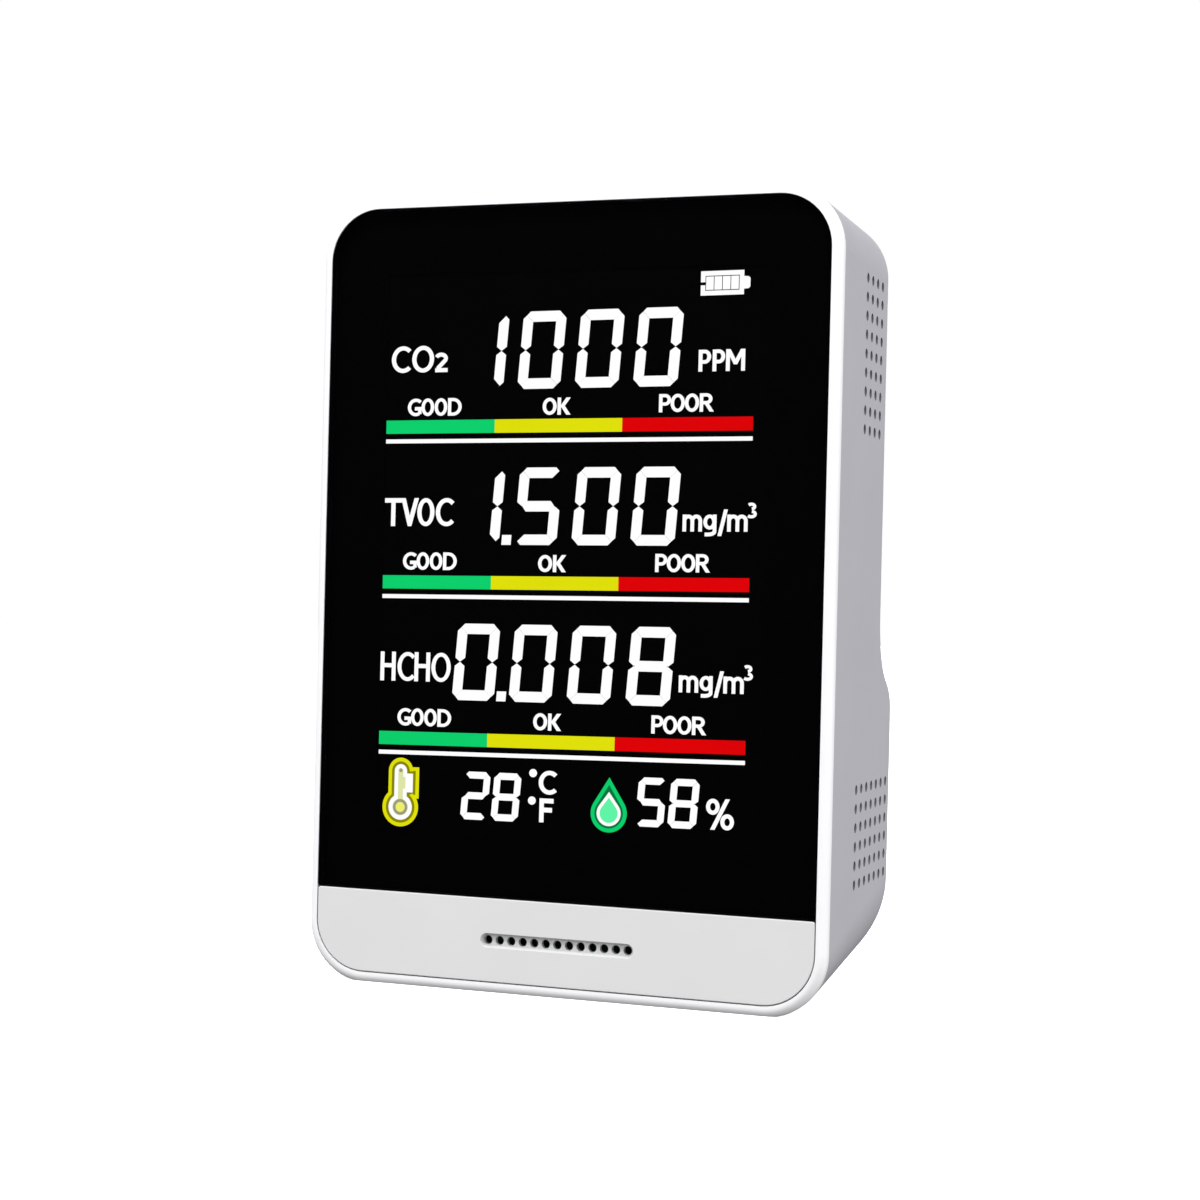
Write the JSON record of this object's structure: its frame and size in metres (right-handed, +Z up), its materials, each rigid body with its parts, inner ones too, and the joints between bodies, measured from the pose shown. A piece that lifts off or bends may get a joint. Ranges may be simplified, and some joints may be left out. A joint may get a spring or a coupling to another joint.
{
  "type": "air quality monitor",
  "caption": "Desk-top air quality monitor: upright rounded case with a full-height black colour-segment display, perforated lower strip, vented sides and a swollen back it stands on.",
  "frame": {"origin": "centre of the bounding box's bottom face, on the surface that the monitor stands on", "axes": "+Z up; -Y out of the screen, so +Y towards the back; +X to the right of someone facing the screen"},
  "size_m": [0.083, 0.0442, 0.1213],
  "materials": {
    "bezel_white": "satin",
    "shell_grey": "satin",
    "trim_grey": "satin",
    "button_grey": "satin",
    "lens_acrylic": "polished",
    "mask_black": "matte",
    "tape_black": "matte",
    "film_black": "satin",
    "lcd_glass": "polished",
    "film_colour": "satin",
    "guide_clear": "polished",
    "tray_white": "satin",
    "lamp_yellow": "satin",
    "board_green": "satin",
    "chip_black": "matte",
    "ceramic_tan": "satin",
    "ferrite_grey": "matte",
    "can_silver": "satin",
    "pin_tin": "satin",
    "sensor_gold": "satin",
    "sensor_white": "matte",
    "filter_white": "matte",
    "cell_silver": "satin",
    "foam_grey": "matte",
    "connector_white": "satin",
    "wire_red": "satin",
    "wire_black": "satin",
    "socket_steel": "satin",
    "screw_steel": "satin",
    "glow_green": "satin",
    "glow_yellow": "satin",
    "glow_red": "satin",
    "glow_white": "satin"
  },
  "bodies": {
    "housing": {"front_frame": "bezel_white", "rear_shell": "shell_grey", "display_lens": "lens_acrylic", "lens_mask": "mask_black", "lens_tape": "tape_black", "lower_trim": "trim_grey", "lcd_front_film": "film_black", "lcd_front_glass": "lcd_glass", "lcd_rear_glass": "lcd_glass", "lcd_rear_film": "film_black", "lcd_colour_film": "film_colour", "light_guide": "guide_clear", "backlight_tray": "tray_white", "backlight_leds": "lamp_yellow", "lcd_pins": "pin_tin", "main_board": "board_green", "microcontroller": "chip_black", "charger_chip": "chip_black", "memory_chip": "chip_black", "power_inductor": "ferrite_grey", "clock_crystal": "can_silver", "board_capacitors": "ceramic_tan", "board_resistors": "chip_black", "buzzer": "chip_black", "climate_sensor": "sensor_white", "battery_cell": "cell_silver", "battery_foam": "foam_grey", "battery_socket": "connector_white", "battery_plug": "connector_white", "battery_wire_red": "wire_red", "battery_wire_black": "wire_black", "housing_screws": "screw_steel", "board_screws": "screw_steel", "co2_sensor_board": "board_green", "co2_sensor_case": "sensor_gold", "co2_sensor_filter": "filter_white", "co2_sensor_pins": "pin_tin", "formaldehyde_cell": "sensor_white", "formaldehyde_window": "filter_white", "formaldehyde_pins": "pin_tin", "voc_sensor_base": "chip_black", "voc_sensor_can": "can_silver", "usb_socket_sleeve": "socket_steel", "usb_socket_tongue": "chip_black", "charge_lamp": "lamp_yellow", "light_pipe": "guide_clear", "power_switch_housing": "chip_black"},
    "power_button": {"power_button": "button_grey", "power_switch_plunger": "sensor_white"}
  },
  "joints": [
    {"name": "power_button_press", "type": "slide", "parent": "housing", "child": "power_button", "axis": [0, 0, -1], "range_m": [0, 0.0005], "stiffness_N_per_m": 3000}
  ]
}
